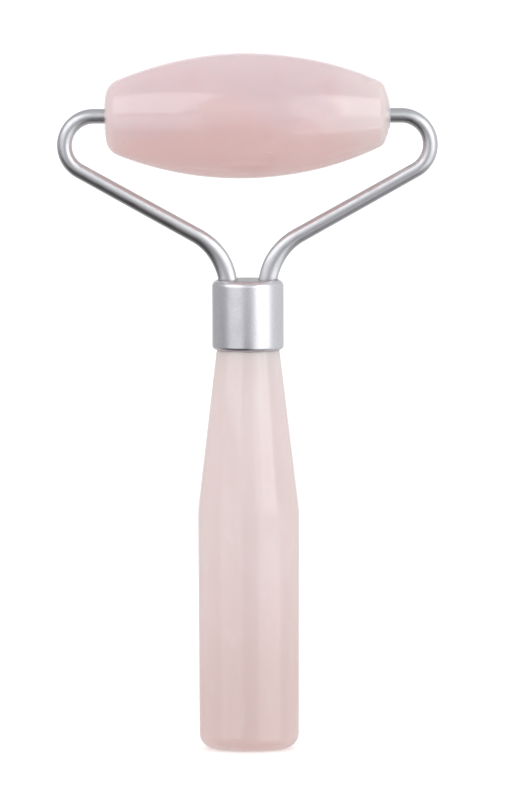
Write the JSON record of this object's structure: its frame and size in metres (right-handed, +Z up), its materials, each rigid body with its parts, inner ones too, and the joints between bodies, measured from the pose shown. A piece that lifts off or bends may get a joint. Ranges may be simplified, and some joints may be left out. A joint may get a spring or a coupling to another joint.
{
  "type": "face roller",
  "caption": "Hand-held face roller: a crowned pink stone barrel spins between bent steel wire arms held in an aluminium ferrule on a tapered pale pink handle.",
  "frame": {"origin": "centre of the flat end of the handle, which the roller stands on", "axes": "+Z up along the handle to the barrel, X along the barrel's axle, the front faces -Y"},
  "size_m": [0.061, 0.0202, 0.112],
  "materials": {
    "rose_stone": "polished, cloudy rose quartz look",
    "white_nylon": "moulded",
    "steel_wire": "satin polished wire",
    "satin_aluminium": "fine blasted satin",
    "holder_plastic": "moulded",
    "handle_resin": "glossy, slightly cloudy"
  },
  "bodies": {
    "handle_and_frame": {"handle": "handle_resin", "ferrule": "satin_aluminium", "wire_holder": "holder_plastic", "left_arm": "steel_wire", "right_arm": "steel_wire"},
    "barrel": {"roller_stone": "rose_stone", "left_bush": "white_nylon", "right_bush": "white_nylon"}
  },
  "joints": [
    {"name": "barrel_spin", "type": "hinge", "parent": "handle_and_frame", "child": "barrel", "pos_m": [0, 0, 0.10195], "axis": [1, 0, 0], "continuous": true}
  ]
}
